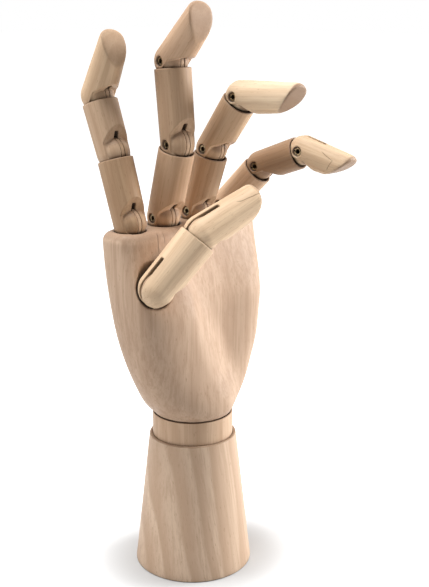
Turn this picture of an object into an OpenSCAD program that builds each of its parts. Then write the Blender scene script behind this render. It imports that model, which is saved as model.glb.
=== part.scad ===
// Jointed wooden drawing hand, left hand, standing on a turned base.
// Origin at the middle of the base's underside, +Z up, palm facing -Y, thumb side at -X. Millimetres.

/* [Base] */
// Height of the turned base
base_h = 74; // [50:1:110]
// Diameter of the base where it stands
base_d = 63; // [54:0.5:90]
// Diameter of the base at its top rim
base_top_d = 46.4; // [46:0.2:60]
// Depth of the socket in the base's top
socket_depth = 5; // [3:0.5:8]
// Diameter of the hollow under the base
hollow_d = 28; // [24:0.5:34]
// Height of the hollow under the base
hollow_h = 40; // [30:1:46]
// Broken edge on turned rims
rim_break = 0.6; // [0.2:0.1:1]

/* [Wrist] */
// Diameter of the wrist collar
collar_d = 42.8; // [38:0.2:45]
// Height of the collar above the base
collar_show = 12.5; // [9:0.5:18]
// Radius of the round heel of the palm
heel_r = 30; // [26:0.5:38]
// Land left around the dish in the collar
collar_land = 0.8; // [0.5:0.1:2]
// Diameter of the eye bolt's shank
bolt_d = 6; // [5:0.5:8]
// Outside diameter of the bolt's eye
eye_d = 13; // [11:0.5:16]
// Thickness of the bolt's eye
eye_t = 6; // [5:0.5:8]
// Diameter of the wrist cross pin
wrist_pin_d = 5; // [4:0.5:6]
// Length of the wrist cross pin
wrist_pin_len = 36; // [28:1:44]
// How far the wrist bends each way, in degrees
wrist_bend = 12; // [6:1:15]
// Wire diameter of the wrist spring
spring_wire = 1.6; // [1:0.1:2.2]
// Mean coil diameter of the wrist spring
spring_d = 14; // [11:0.5:18]
// Turns in the wrist spring
spring_turns = 6; // [4:1:8]
// Outside diameter of the washer under the spring
washer_d = 20; // [16:0.5:23]
// Thickness of the washer
washer_t = 1.6; // [1:0.1:2.5]
// Size of the nut across its flats
nut_af = 10; // [8:0.5:13]
// Height of the nut
nut_h = 5; // [4:0.5:7]
// Height of the nut's lower face above the table
nut_z = 10; // [7:0.5:14]

/* [Palm] */
// Height of the palm from the collar to its top
palm_h = 102; // [84:1:124]
// Width of the palm at the knuckles
palm_w = 92; // [84:1:112]
// How far the palm's back stands behind the wrist axis
palm_back = 22.5; // [20:0.5:26]
// How far the palm's heel stands in front of the wrist axis
palm_front = 20; // [18:0.5:25]
// How far the front is thinned at the knuckles
palm_thinning = 15; // [10:0.5:18]
// Share of the palm's height at which its thumb side reaches full width
palm_flare_thumb = 0.86; // [0.6:0.01:0.95]
// Share of the palm's height at which its little finger side reaches full width
palm_flare_little = 0.5; // [0.4:0.01:0.8]
// Steepness of the flare at the heel
palm_flare_power = 2.7; // [2:0.1:3.2]
// How far the heel rounds out above the collar
palm_bowl = 4.2; // [2:0.2:4.6]
// How much the little finger side is drawn in below the knuckles
palm_waist = 2; // [0:0.5:4]
// Extra width of the little finger side at the knuckles
palm_spread = 7; // [0:0.5:8]
// Share of the palm's height at which the front starts to thin
palm_thin_from = 0.54; // [0.4:0.01:0.7]
// Squareness of the palm's section, 2 is an ellipse
palm_square = 3.8; // [2.4:0.1:4.5]
// Rounding of the palm's top edge
palm_edge_r = 5; // [3:0.5:7]
// Shift of the palm's top towards the thumb side
palm_lean = 1.5; // [0:0.5:4]
// Depth of the hollow in the palm
palm_hollow = 7; // [3:0.5:8]
// Place of the hollow's edge: sideways from the middle and up from the heel
palm_hollow_at = [-18, 43]; // [-22:1:50]
// Tilt of the hollow's edge along the thumb's mound
palm_hollow_tilt = 28; // [15:1:40]
// Width of the slope from the thumb's mound into the hollow
palm_hollow_ramp = 26; // [16:1:32]
// Distance of the hollow from the thumb's pin
palm_hollow_clear = 14; // [12:0.5:20]
// Width of the slope that rises to the little finger side
palm_hollow_bank = 34; // [24:1:38]

/* [Digits] */
// Index segment lengths from joint to joint, the last to the tip
index_len = [35.5, 29, 33.5]; // [24:0.5:48]
// Middle finger segment lengths
middle_len = [39.5, 40, 34]; // [24:0.5:48]
// Ring finger segment lengths
ring_len = [34.5, 33, 37.5]; // [24:0.5:48]
// Little finger segment lengths
little_len = [31, 27.5, 29]; // [24:0.5:48]
// Thumb segment lengths
thumb_len = [34.5, 34.5]; // [24:0.5:48]
// Index joint bends in the modelled pose, in degrees
index_bend = [-17, -3, 48]; // [-24:1:62]
// Middle finger joint bends in the modelled pose
middle_bend = [16, -22, 50]; // [-24:1:62]
// Ring finger joint bends in the modelled pose
ring_bend = [17, 18, 52]; // [-24:1:62]
// Little finger joint bends in the modelled pose
little_bend = [44, 25, 35]; // [-24:1:62]
// Thumb joint bends in the modelled pose
thumb_bend = [55, 22]; // [-24:1:62]
// Ball radius of the index joints
index_r = 8.5; // [7:0.1:10.2]
// Ball radius of the middle finger joints
middle_r = 8.8; // [7:0.1:10.2]
// Ball radius of the ring finger joints
ring_r = 8.4; // [7:0.1:10.2]
// Ball radius of the little finger joints
little_r = 8; // [7:0.1:10.2]
// Ball radius of the thumb joints
thumb_r = 9.6; // [8:0.1:11]
// Sideways lean of index, middle, ring and little finger
finger_lean = [-1.5, 0.5, 3, 3.5]; // [-6:0.5:6]
// Turn of index, middle, ring and little finger about their length
finger_turn = [-2, -4, 0, 7]; // [-10:0.5:12]
// Distance of the outer finger axes from the palm's sides
finger_inset = 11; // [10:0.5:14]
// Distance of the knuckles behind the wrist axis
finger_back = 8; // [6:0.5:9]
// Height of the knuckle pins above the palm's top
knuckle_rise = 3.8; // [3:0.1:5]

/* [Thumb seat] */
// Distance of the thumb's ball from the palm's thumb side
thumb_inset = 8; // [7:0.5:12]
// Distance of the thumb's ball in front of the wrist axis
thumb_front = 14; // [12:0.5:16]
// Distance of the thumb's ball below the palm's top
thumb_drop = 25; // [22:0.5:34]
// Turn of the thumb's hinge about the vertical
thumb_turn = 75; // [65:1:85]
// Sideways lean of the thumb's swing
thumb_lean = -12; // [-20:1:-6]
// Tilt of the thumb's tongue from the swing's upright
thumb_seat = -15; // [-25:1:0]
// Gap between the thumb's ball and its cup, beyond the flare of the rim
thumb_gap = 0.6; // [0.5:0.05:0.8]
// Reach of the swing relief cut beside the thumb's ball
thumb_relief = 17; // [14:0.5:24]
// Swing of the relief to each side, in degrees from the thumb's tongue
thumb_relief_swing = [10, 68]; // [0:1:80]

/* [Joints] */
// Distance of a segment's rim below the pin of the joint above it
rim_drop = 3.5; // [2.5:0.1:4.5]
// How much wider than the ball a segment is at its rim
rim_flare = 0.35; // [0.2:0.05:0.6]
// Gap between a ball and its cup
ball_gap = 0.3; // [0.2:0.05:0.5]
// Width of the saw slot in a ball
slot_w = 2.5; // [2.2:0.1:3.2]
// Height of the saw slot above the pin as a share of the ball's radius
slot_top = 1.4; // [1.2:0.05:1.6]
// Height of the slot's end at the palm side as a share of the ball's radius
slot_front_top = 1.05; // [1:0.05:1.2]
// Thickness of a tongue
tongue_t = 2; // [1.4:0.1:2]
// Width of a tongue's stem
tongue_w = 9; // [7:0.5:10]
// How deep a tongue is glued in below its cup
tongue_glued = 4.5; // [3:0.5:5.5]
// How far a tongue's round head stays inside the ball
head_inset = 1; // [0.6:0.1:1.4]
// Outside diameter of a roll pin
pin_d = 4; // [3:0.1:4.4]
// Inside diameter of a roll pin
pin_bore = 2.3; // [1.4:0.1:2.4]
// Width of the slit along a roll pin
pin_slit = 0.6; // [0.3:0.1:1]
// Diameter of the hole mouth outside a roll pin
mouth_d = 5.2; // [4.6:0.1:5.6]
// How deep a roll pin sits in its hole
pin_sunk = 1.2; // [1:0.1:3]
// Slope of the notch on the palm side of a ball
notch_slope = 55; // [46:1:58]
// Distance of the notch's slope below the pin
notch_drop = 0.5; // [0:0.1:2]
// Distance of the notch's upright edges in front of the pin
notch_in = 3.4; // [2.8:0.1:4]
// Wood left off the ball's palm side
notch_relief = 0.8; // [0.2:0.05:1]
// Clearance of a pin turning in a tongue
run_gap = 0.05; // [0.02:0.01:0.08]
// Clearance of parts fixed in one another
fit_gap = 0.02; // [0.01:0.01:0.05]

/* [Finger tips] */
// Length of the sloped face at a finger tip
tip_slope_len = 16; // [12:0.5:19]
// Height of the tip's blunt end above the finger axis as a share of the ball's radius
tip_end = 0.66; // [0.5:0.02:0.8]
// Radius of an end segment at its tip as a share of the ball's radius
tip_taper = 0.86; // [0.82:0.02:1]
// Radius of the bulge of the sloped face
tip_bulge_r = 28; // [22:1:45]
// Rounding of the tip's end
tip_round = 3; // [2:0.1:4]

/* [Hidden] */
$fn = 72;

beech = [0.87, 0.74, 0.58];
pale_beech = [0.91, 0.81, 0.65];
steel = [0.32, 0.31, 0.3];

// Heights up the wrist
collar_z = base_h - socket_depth;
wrist_z = base_h + collar_show;
dish_r = heel_r + ball_gap;
dish_rim_r = collar_d / 2 - collar_land;
heel_z = wrist_z + sqrt(dish_r * dish_r - dish_rim_r * dish_rim_r);
palm_foot = 0.5;
palm_foot_in = 0.2;
palm_low = wrist_z + palm_foot;
palm_low_r = dish_rim_r - palm_foot_in;
palm_top = wrist_z + palm_h;

// Places of the five digits, thumb last
digit_len = [index_len, middle_len, ring_len, little_len, thumb_len];
digit_bend = [index_bend, middle_bend, ring_bend, little_bend, thumb_bend];
digit_r = [index_r, middle_r, ring_r, little_r, thumb_r];
digit_seat = [0, 0, 0, 0, thumb_seat];
pin_side = [1, -1, -1, -1, 1];
knuckle_pitch = (palm_w / 2 - finger_inset) / 1.5;
function finger_root(i) = [(i - 1.5) * knuckle_pitch, finger_back, palm_top + knuckle_rise];
thumb_root = [-palm_w / 2 + thumb_inset, -thumb_front, palm_top - thumb_drop];
digit_root = [for (i = [0 : 4]) i < 4 ? finger_root(i) : thumb_root];
digit_turn = [for (i = [0 : 4]) i < 4 ? [0, finger_lean[i], finger_turn[i]] : [0, thumb_lean, thumb_turn]];

// Moves its children from a digit's own frame to segment n, whose lower pin is then at the origin
module on_digit(d, n) {
  translate(digit_root[d])
    rotate(digit_turn[d])
      rotate([digit_seat[d], 0, 0])
        on_segment(d, 0, n)
          children();
}

module on_segment(d, i, n) {
  rotate([digit_bend[d][i], 0, 0])
    if (i == n)
      children();
    else
      translate([0, 0, digit_len[d][i]])
        on_segment(d, i + 1, n)
          children();
}

// Moves its children to the cup of joint n, upright in the piece that has the cup
module on_cup(d, n) {
  if (n == 0)
    translate(digit_root[d])
      rotate(digit_turn[d])
        rotate([digit_seat[d], 0, 0])
          children();
  else
    on_digit(d, n - 1)
      translate([0, 0, digit_len[d][n - 1]])
        children();
}

// A turned segment with a ball at its lower end and a rim below the next joint
module turned_segment(r, len) {
  rim_z = len - rim_drop;
  rim_r = r + rim_flare;
  rotate_extrude()
    union() {
      intersection() {
        circle(r);
        translate([0, -r])
          square([r, r]);
      }
      polygon([
        [0, 0], [r, 0], [rim_r, rim_z - rim_break / 2],
        [rim_r - rim_break / 2, rim_z], [0, rim_z]
      ]);
    }
}

// A turned end segment with a rounded tip
module turned_tip(r, len) {
  tip_r = tip_taper * r;
  rotate_extrude()
    union() {
      intersection() {
        circle(r);
        translate([0, -r])
          square([r, r]);
      }
      polygon([[0, 0], [r, 0], [tip_r, len - tip_round], [tip_r - tip_round, len], [0, len]]);
      translate([tip_r - tip_round, len - tip_round])
        intersection() {
          circle(tip_round);
          square(tip_round);
        }
    }
}

// Saw slot, palm side notch and pin hole of a ball
module ball_cuts(r, side) {
  rotate([90, 0, 90])
    linear_extrude(height = slot_w, center = true)
      polygon(r * [
        [-2, -2], [2, -2], [2, (3 * slot_top - slot_front_top) / 2], [-2, (3 * slot_front_top - slot_top) / 2]
      ]);
  difference() {
    intersection() {
      translate([0, 0, -notch_drop])
        rotate([-notch_slope, 0, 0])
          translate([-2 * r, -4 * r, -4 * r])
            cube([4 * r, 8 * r, 4 * r]);
      translate([-2 * r, -3 * r - notch_in, -2 * r])
        cube([4 * r, 3 * r, 6 * r]);
    }
    sphere(r - notch_relief);
  }
  rotate([0, 90 * side, 0]) {
    translate([0, 0, -r + pin_sunk])
      cylinder(d = pin_d + 2 * fit_gap, h = 2 * r - 2 * pin_sunk);
    translate([0, 0, r - pin_sunk])
      cylinder(d = mouth_d, h = 2 * pin_sunk);
  }
}

// Cup and tongue mortise cut into the piece below a joint
module cup_cuts(r, gap = ball_gap) {
  sphere(r + gap);
  translate([-tongue_t / 2 - fit_gap, -tongue_w / 2 - fit_gap, -r - ball_gap - tongue_glued - fit_gap])
    cube([tongue_t + 2 * fit_gap, tongue_w + 2 * fit_gap, r + tongue_glued]);
}

// Flat tongue with a round head on the pin and a glued stem
module tongue(r) {
  difference() {
    union() {
      rotate([0, 90, 0])
        translate([0, 0, -tongue_t / 2])
          cylinder(r = r - head_inset, h = tongue_t);
      translate([-tongue_t / 2, -tongue_w / 2, -r - ball_gap - tongue_glued])
        cube([tongue_t, tongue_w, r + ball_gap + tongue_glued]);
    }
    rotate([0, 90, 0])
      translate([0, 0, -tongue_t])
        cylinder(d = pin_d + 2 * run_gap, h = 2 * tongue_t);
  }
}

// Hollow roll pin with a slit along it
module roll_pin(r, side) {
  len = 2 * r - 2 * pin_sunk - 2 * fit_gap;
  rotate([0, 90 * side, 0])
    difference() {
      translate([0, 0, -len / 2])
        cylinder(d = pin_d, h = len);
      translate([0, 0, -len])
        cylinder(d = pin_bore, h = 2 * len);
      translate([-pin_d, -pin_slit / 2, -len])
        cube([pin_d, pin_slit, 2 * len]);
    }
}

module segment(d, n) {
  color(beech)
    on_digit(d, n)
      difference() {
        turned_segment(digit_r[d], digit_len[d][n]);
        ball_cuts(digit_r[d], pin_side[d]);
        translate([0, 0, digit_len[d][n]])
          cup_cuts(digit_r[d]);
      }
}

// Outer end of a digit, sloped on its palm side
module end_segment(d, n) {
  r = digit_r[d];
  len = digit_len[d][n];
  rise = (1 + tip_end) * r;
  chord = sqrt(rise * rise + tip_slope_len * tip_slope_len);
  reach = sqrt(tip_bulge_r * tip_bulge_r - chord * chord / 4);
  mid_y = (tip_end - 1) * r / 2;
  mid_z = len - tip_slope_len / 2;
  color(beech)
    on_digit(d, n)
      difference() {
        turned_tip(r, len);
        ball_cuts(r, pin_side[d]);
        difference() {
          translate([-2 * r, -2 * r, len - tip_slope_len - 1])
            cube([4 * r, 4 * r, tip_slope_len + 2]);
          translate([0, mid_y + reach * tip_slope_len / chord, mid_z - reach * rise / chord])
            rotate([0, 90, 0])
              cylinder(r = tip_bulge_r, h = 8 * r, center = true);
        }
      }
}

module digit_tongue(d, n) {
  color(pale_beech)
    on_cup(d, n)
      tongue(digit_r[d]);
}

module digit_pin(d, n) {
  color(steel)
    on_digit(d, n)
      roll_pin(digit_r[d], pin_side[d]);
}

module base() {
  inner = collar_d / 2 + run_gap;
  outer = base_d / 2;
  top = base_top_d / 2;
  hole = bolt_d / 2 + ball_gap;
  color(beech)
    rotate_extrude()
      polygon([
        [hollow_d / 2, 0], [outer - rim_break, 0], [outer, rim_break],
        [top, base_h - rim_break], [top - rim_break, base_h], [inner, base_h],
        [inner, collar_z], [hole, collar_z], [hole, hollow_h], [hollow_d / 2, hollow_h]
      ]);
}

module wrist_collar() {
  color(beech)
    difference() {
      translate([0, 0, collar_z + run_gap])
        cylinder(d = collar_d, h = wrist_z - collar_z - run_gap);
      translate([0, 0, heel_z])
        sphere(dish_r);
      translate([0, 0, collar_z - 1])
        cylinder(d = bolt_d + 2 * run_gap, h = wrist_z);
    }
}

module wrist_eye_bolt() {
  color(steel)
    difference() {
      union() {
        translate([0, 0, nut_z - nut_h / 2])
          cylinder(d = bolt_d, h = heel_z - nut_z + nut_h / 2);
        translate([-eye_t / 2, 0, heel_z])
          rotate([0, 90, 0])
            cylinder(d = eye_d, h = eye_t);
      }
      translate([-eye_t, 0, heel_z])
        rotate([0, 90, 0])
          cylinder(d = wrist_pin_d + 2 * run_gap, h = 2 * eye_t);
    }
}

// Wrist spring: wire swept along a helix, each end running straight into its seat
spring_low = nut_z + nut_h + washer_t + 3 * fit_gap;
spring_high = hollow_h - fit_gap;
spring_leg = 1.5 * spring_wire;
coil_low = spring_low + spring_leg;
coil_high = spring_high - spring_leg;
spring_rings = 16;
spring_sides = 8;
spring_lift = 0.6;
function coil_point(u) =
  let (a = 360 * spring_turns * u)
  [spring_d / 2 * cos(a), spring_d / 2 * sin(a), coil_low + (coil_high - coil_low) * u];
spring_path = concat(
  [[spring_d / 2, 0, spring_low]],
  [for (i = [0 : spring_turns * spring_rings]) coil_point(i / (spring_turns * spring_rings))],
  [[spring_d / 2, 0, spring_high]]
);
spring_n = len(spring_path);
function unit(v) = v / norm(v);
function wire_ring(i) =
  let (
    p = spring_path[i],
    ahead = spring_path[min(i + 1, spring_n - 1)] - p,
    back = p - spring_path[max(i - 1, 0)],
    up = [0, 0, 1],
    along =
      i == 0 || i == spring_n - 1 ? up :
      i == 1 ? unit(unit(ahead) + spring_lift * up) :
      i == spring_n - 2 ? unit(unit(back) + spring_lift * up) :
      unit(unit(back) + unit(ahead)),
    out = unit([p[0], p[1], 0] - ([p[0], p[1], 0] * along) * along),
    side = cross(along, out)
  )
  [for (k = [0 : spring_sides - 1])
    p + spring_wire / 2 * (cos(360 * k / spring_sides) * out + sin(360 * k / spring_sides) * side)];
spring_gap = min([
  for (i = [1 : spring_n - 2 - spring_rings])
    norm(spring_path[i + spring_rings] - spring_path[i]) - spring_wire
]);
echo(least_gap_between_spring_turns = spring_gap);

module wrist_spring() {
  points = [for (i = [0 : spring_n - 1]) each wire_ring(i)];
  last = (spring_n - 1) * spring_sides;
  sides = [
    for (i = [0 : spring_n - 2], k = [0 : spring_sides - 1])
      let (a = i * spring_sides + k, b = i * spring_sides + (k + 1) % spring_sides)
      each [[a, a + spring_sides, b], [b, a + spring_sides, b + spring_sides]]
  ];
  caps = [
    [for (k = [0 : spring_sides - 1]) k],
    [for (k = [spring_sides - 1 : -1 : 0]) last + k]
  ];
  color(steel)
    polyhedron(points, concat(sides, caps), convexity = 8);
}

module wrist_washer() {
  color(steel)
    translate([0, 0, nut_z + nut_h + fit_gap])
      difference() {
        cylinder(d = washer_d, h = washer_t);
        translate([0, 0, -washer_t])
          cylinder(d = bolt_d + 2 * run_gap, h = 3 * washer_t);
      }
}

module wrist_nut() {
  color(steel)
    translate([0, 0, nut_z])
      difference() {
        cylinder(d = nut_af / cos(30), h = nut_h, $fn = 6);
        translate([0, 0, -nut_h])
          cylinder(d = bolt_d + 2 * fit_gap, h = 3 * nut_h);
      }
}

// Palm: rounded sections stacked from the round heel to the knuckles
palm_steps = 30;
palm_edge_steps = 5;
palm_sides = 56;
palm_straight = palm_h - palm_foot - palm_edge_r;
palm_deep_from = 0.27;
palm_flare_from = 0.02;
palm_bowl_steps = 5;
palm_low_steps = 10;
palm_square_from = 0.9;
palm_spread_from = 0.5;
palm_edge_in = 0.8;
palm_hollow_rim = 4;
palm_hollow_start = 16;
palm_hollow_fade = [0.5, 0.95];
relief_start = 0.1;
thumb_cup_r = thumb_r + rim_flare + thumb_gap;
slot_room = 1;
plug_sunk = 0.4;
function ease(t) = t * t * (3 - 2 * t);
function ease_between(v, low, high) = ease(min(1, max(0, (v - low) / (high - low))));
function palm_share(z) = (z - palm_low) / (palm_top - palm_low);
// Growth of every side along the heel's ball, levelling off at palm_bowl
function palm_round(z) =
  let (out = sqrt(pow(heel_r, 2) - pow(min(0, z - heel_z), 2)) - palm_low_r)
  palm_bowl * (1 - pow(1 - min(1, out / (2 * palm_bowl)), 2));
function palm_side(z, full, share) =
  palm_low_r + palm_round(z) + (full - palm_low_r - palm_bowl) * share;
function palm_half(z, full, flare) =
  let (t = min(1, max(0, palm_share(z) - palm_flare_from) / (flare - palm_flare_from)))
  palm_side(z, full, 1 - pow(1 - t, palm_flare_power));
function palm_thumb_x(z) = -palm_half(z, palm_w / 2, palm_flare_thumb) - palm_lean * palm_share(z);
function palm_little_x(z) =
  let (t = max(0, (palm_share(z) - palm_spread_from) / (1 - palm_spread_from)))
  palm_half(z, palm_w / 2 - palm_waist, palm_flare_little)
    - palm_lean * palm_share(z) + palm_spread * ease(t);
function palm_back_y(z) = palm_side(z, palm_back, ease_between(palm_share(z), 0, palm_deep_from));
function palm_front_y(z) =
  let (
    t = max(0, (palm_share(z) - palm_thin_from) / (1 - palm_thin_from)),
    heel = palm_side(z, palm_front, ease_between(palm_share(z), 0, palm_deep_from))
  )
  -heel + palm_thinning * ease(t);
function palm_hollow_depth(x, z) =
  let (
    across = (x - palm_hollow_at[0]) * cos(palm_hollow_tilt)
      + (z - palm_low - palm_hollow_at[1]) * sin(palm_hollow_tilt),
    left = thumb_root[0] + palm_hollow_clear,
    right = palm_w / 2 - palm_hollow_rim
  )
  palm_hollow
    * ease_between(across, 0, palm_hollow_ramp)
    * ease_between(x, left, left + palm_hollow_start)
    * (1 - ease_between(x, right - palm_hollow_bank, right))
    * (1 - ease_between(palm_share(z), palm_hollow_fade[0], palm_hollow_fade[1]));
function palm_power(z) = 2 + (palm_square - 2) * ease(min(1, palm_share(z) / palm_square_from));
function bulge(v, p) = sign(v) * pow(abs(v), p);
function palm_ring(z, inset) =
  let (
    left = palm_thumb_x(z) + inset,
    right = palm_little_x(z) - inset,
    back = palm_back_y(z) - inset,
    front = palm_front_y(z) + inset,
    p = 2 / palm_power(z)
  )
  [for (k = [0 : palm_sides - 1])
    let (
      t = 360 * (k + 0.5) / palm_sides,
      x = (right + left) / 2 + (right - left) / 2 * bulge(cos(t), p),
      y = (back + front) / 2 + (back - front) / 2 * bulge(sin(t), p),
      facing = max(0, -bulge(sin(t), p))
    )
    [x, y + palm_hollow_depth(x, z) * facing * facing, z]];
palm_levels = concat(
  [for (i = [0 : palm_bowl_steps - 1])
    [palm_low + palm_straight * pow(i / palm_bowl_steps, 2) / palm_low_steps, 0]],
  [for (i = [palm_steps / palm_low_steps : palm_steps]) [palm_low + palm_straight * i / palm_steps, 0]],
  [for (i = [1 : palm_edge_steps])
    let (u = 90 * i / palm_edge_steps)
    [palm_top - palm_edge_r * (1 - sin(u)), palm_edge_in * palm_edge_r * (1 - cos(u))]]
);

module palm_block() {
  rings = len(palm_levels);
  points = [for (l = palm_levels) each palm_ring(l[0], l[1])];
  last = (rings - 1) * palm_sides;
  sides = [
    for (i = [0 : rings - 2], k = [0 : palm_sides - 1])
      let (a = i * palm_sides + k, b = i * palm_sides + (k + 1) % palm_sides)
      each [[a, a + palm_sides, b], [b, a + palm_sides, b + palm_sides]]
  ];
  caps = [
    [for (k = [0 : palm_sides - 1]) k],
    [for (k = [palm_sides - 1 : -1 : 0]) last + k]
  ];
  polyhedron(points, concat(sides, caps), convexity = 4);
}

// Relief for the thumb's swing: a flat sector between two round grooves
module thumb_swing_cut() {
  r = thumb_r + rim_flare + ball_gap;
  floor_r = (r + thumb_cup_r) / 2;
  span = thumb_relief_swing[1] - thumb_relief_swing[0];
  for (a = thumb_relief_swing)
    rotate([a, 0, 0])
      translate([0, 0, relief_start * r])
        cylinder(r = r, h = thumb_relief - relief_start * r);
  rotate([0, 90, 0])
    rotate([0, 0, 180 + thumb_relief_swing[0]])
      rotate_extrude(angle = span)
        translate([0, -floor_r])
          square([thumb_relief, 2 * floor_r]);
}

module palm() {
  slot = 2 * (heel_r * sin(wrist_bend) + bolt_d / 2 + slot_room);
  color(beech)
    difference() {
      union() {
        palm_block();
        intersection() {
          translate([0, 0, heel_z])
            sphere(heel_r);
          translate([0, 0, wrist_z - heel_r / 2])
            cylinder(r = palm_low_r - palm_foot, h = heel_r);
        }
      }
      for (d = [0 : 3])
        on_cup(d, 0)
          cup_cuts(digit_r[d]);
      on_cup(4, 0) {
        cup_cuts(thumb_r, thumb_cup_r - thumb_r);
        thumb_swing_cut();
      }
      translate([-eye_t / 2 - ball_gap, -slot / 2, wrist_z - heel_r])
        cube([eye_t + 2 * ball_gap, slot, heel_z + eye_d / 2 + slot_room - wrist_z + heel_r]);
      translate([-wrist_pin_len / 2, 0, heel_z])
        rotate([0, 90, 0])
          cylinder(d = wrist_pin_d + 2 * fit_gap, h = palm_w);
    }
}

module wrist_pin() {
  color(steel)
    translate([-wrist_pin_len / 2 + fit_gap, 0, heel_z])
      rotate([0, 90, 0])
        cylinder(d = wrist_pin_d, h = wrist_pin_len - 2 * fit_gap);
}

// Wooden plug that closes the cross pin's hole on the little finger side
module wrist_plug() {
  plug_end = palm_little_x(heel_z) - plug_sunk;
  color(pale_beech)
    translate([wrist_pin_len / 2, 0, heel_z])
      rotate([0, 90, 0])
        cylinder(d = wrist_pin_d, h = plug_end - wrist_pin_len / 2);
}

base();
wrist_collar();
wrist_eye_bolt();
wrist_spring();
wrist_washer();
wrist_nut();
palm();
wrist_pin();
wrist_plug();
segment(0, 0);  // index_proximal
segment(0, 1);  // index_middle
end_segment(0, 2);  // index_distal
segment(1, 0);  // middle_proximal
segment(1, 1);  // middle_middle
end_segment(1, 2);  // middle_distal
segment(2, 0);  // ring_proximal
segment(2, 1);  // ring_middle
end_segment(2, 2);  // ring_distal
segment(3, 0);  // little_proximal
segment(3, 1);  // little_middle
end_segment(3, 2);  // little_distal
segment(4, 0);  // thumb_metacarpal
end_segment(4, 1);  // thumb_distal
digit_tongue(0, 0);  // index_tongue_1
digit_tongue(0, 1);  // index_tongue_2
digit_tongue(0, 2);  // index_tongue_3
digit_tongue(1, 0);  // middle_tongue_1
digit_tongue(1, 1);  // middle_tongue_2
digit_tongue(1, 2);  // middle_tongue_3
digit_tongue(2, 0);  // ring_tongue_1
digit_tongue(2, 1);  // ring_tongue_2
digit_tongue(2, 2);  // ring_tongue_3
digit_tongue(3, 0);  // little_tongue_1
digit_tongue(3, 1);  // little_tongue_2
digit_tongue(3, 2);  // little_tongue_3
digit_tongue(4, 0);  // thumb_tongue_1
digit_tongue(4, 1);  // thumb_tongue_2
digit_pin(0, 0);  // index_pin_1
digit_pin(0, 1);  // index_pin_2
digit_pin(0, 2);  // index_pin_3
digit_pin(1, 0);  // middle_pin_1
digit_pin(1, 1);  // middle_pin_2
digit_pin(1, 2);  // middle_pin_3
digit_pin(2, 0);  // ring_pin_1
digit_pin(2, 1);  // ring_pin_2
digit_pin(2, 2);  // ring_pin_3
digit_pin(3, 0);  // little_pin_1
digit_pin(3, 1);  // little_pin_2
digit_pin(3, 2);  // little_pin_3
digit_pin(4, 0);  // thumb_pin_1
digit_pin(4, 1);  // thumb_pin_2
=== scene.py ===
import math

import bmesh
import bpy
import numpy as np
from mathutils import Matrix, Vector


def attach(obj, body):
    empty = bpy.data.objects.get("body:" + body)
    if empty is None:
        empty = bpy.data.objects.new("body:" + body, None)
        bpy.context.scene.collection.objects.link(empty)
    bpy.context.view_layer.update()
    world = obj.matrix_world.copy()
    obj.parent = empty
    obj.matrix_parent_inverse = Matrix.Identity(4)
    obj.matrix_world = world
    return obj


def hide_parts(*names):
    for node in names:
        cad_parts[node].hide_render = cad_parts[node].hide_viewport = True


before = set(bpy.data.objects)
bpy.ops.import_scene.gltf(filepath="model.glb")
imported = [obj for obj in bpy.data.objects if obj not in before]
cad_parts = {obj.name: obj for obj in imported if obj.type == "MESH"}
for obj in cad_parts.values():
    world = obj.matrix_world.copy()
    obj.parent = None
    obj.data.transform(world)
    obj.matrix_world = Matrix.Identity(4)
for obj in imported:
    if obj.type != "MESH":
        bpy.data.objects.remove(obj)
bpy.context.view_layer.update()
scene = bpy.context.scene
mm = 0.001
toMm = 1000.0
tiny = 1e-6
print("frame loaded:", len(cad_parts), "nodes")


def linked(name, data):
    obj = bpy.data.objects.new(name, data)
    scene.collection.objects.link(obj)
    return obj


def fromBmesh(name, bm):
    mesh = bpy.data.meshes.new(name)
    bm.to_mesh(mesh)
    bm.free()
    return linked(name, mesh)


def evaluatedMesh(obj, name):
    bpy.context.view_layer.update()
    graph = bpy.context.evaluated_depsgraph_get()
    mesh = bpy.data.meshes.new_from_object(obj.evaluated_get(graph))
    mesh.name = name
    return mesh


def dropObject(obj):
    old = obj.data
    bpy.data.objects.remove(obj)
    if old is not None and old.users == 0:
        if isinstance(old, bpy.types.Mesh):
            bpy.data.meshes.remove(old)
        else:
            bpy.data.curves.remove(old)


def outward(mesh):
    bm = bmesh.new()
    bm.from_mesh(mesh)
    bmesh.ops.remove_doubles(bm, verts=bm.verts, dist=tiny)
    bmesh.ops.recalc_face_normals(bm, faces=bm.faces)
    bm.to_mesh(mesh)
    bm.free()


def points(mesh):
    co = np.empty(len(mesh.vertices) * 3)
    mesh.vertices.foreach_get("co", co)
    return co.reshape(-1, 3)


def setPoints(mesh, co):
    mesh.vertices.foreach_set("co", co.ravel())
    mesh.update()


def vertexNormals(mesh):
    no = np.empty(len(mesh.vertices) * 3)
    mesh.vertex_normals.foreach_get("vector", no)
    return no.reshape(-1, 3)


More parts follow.
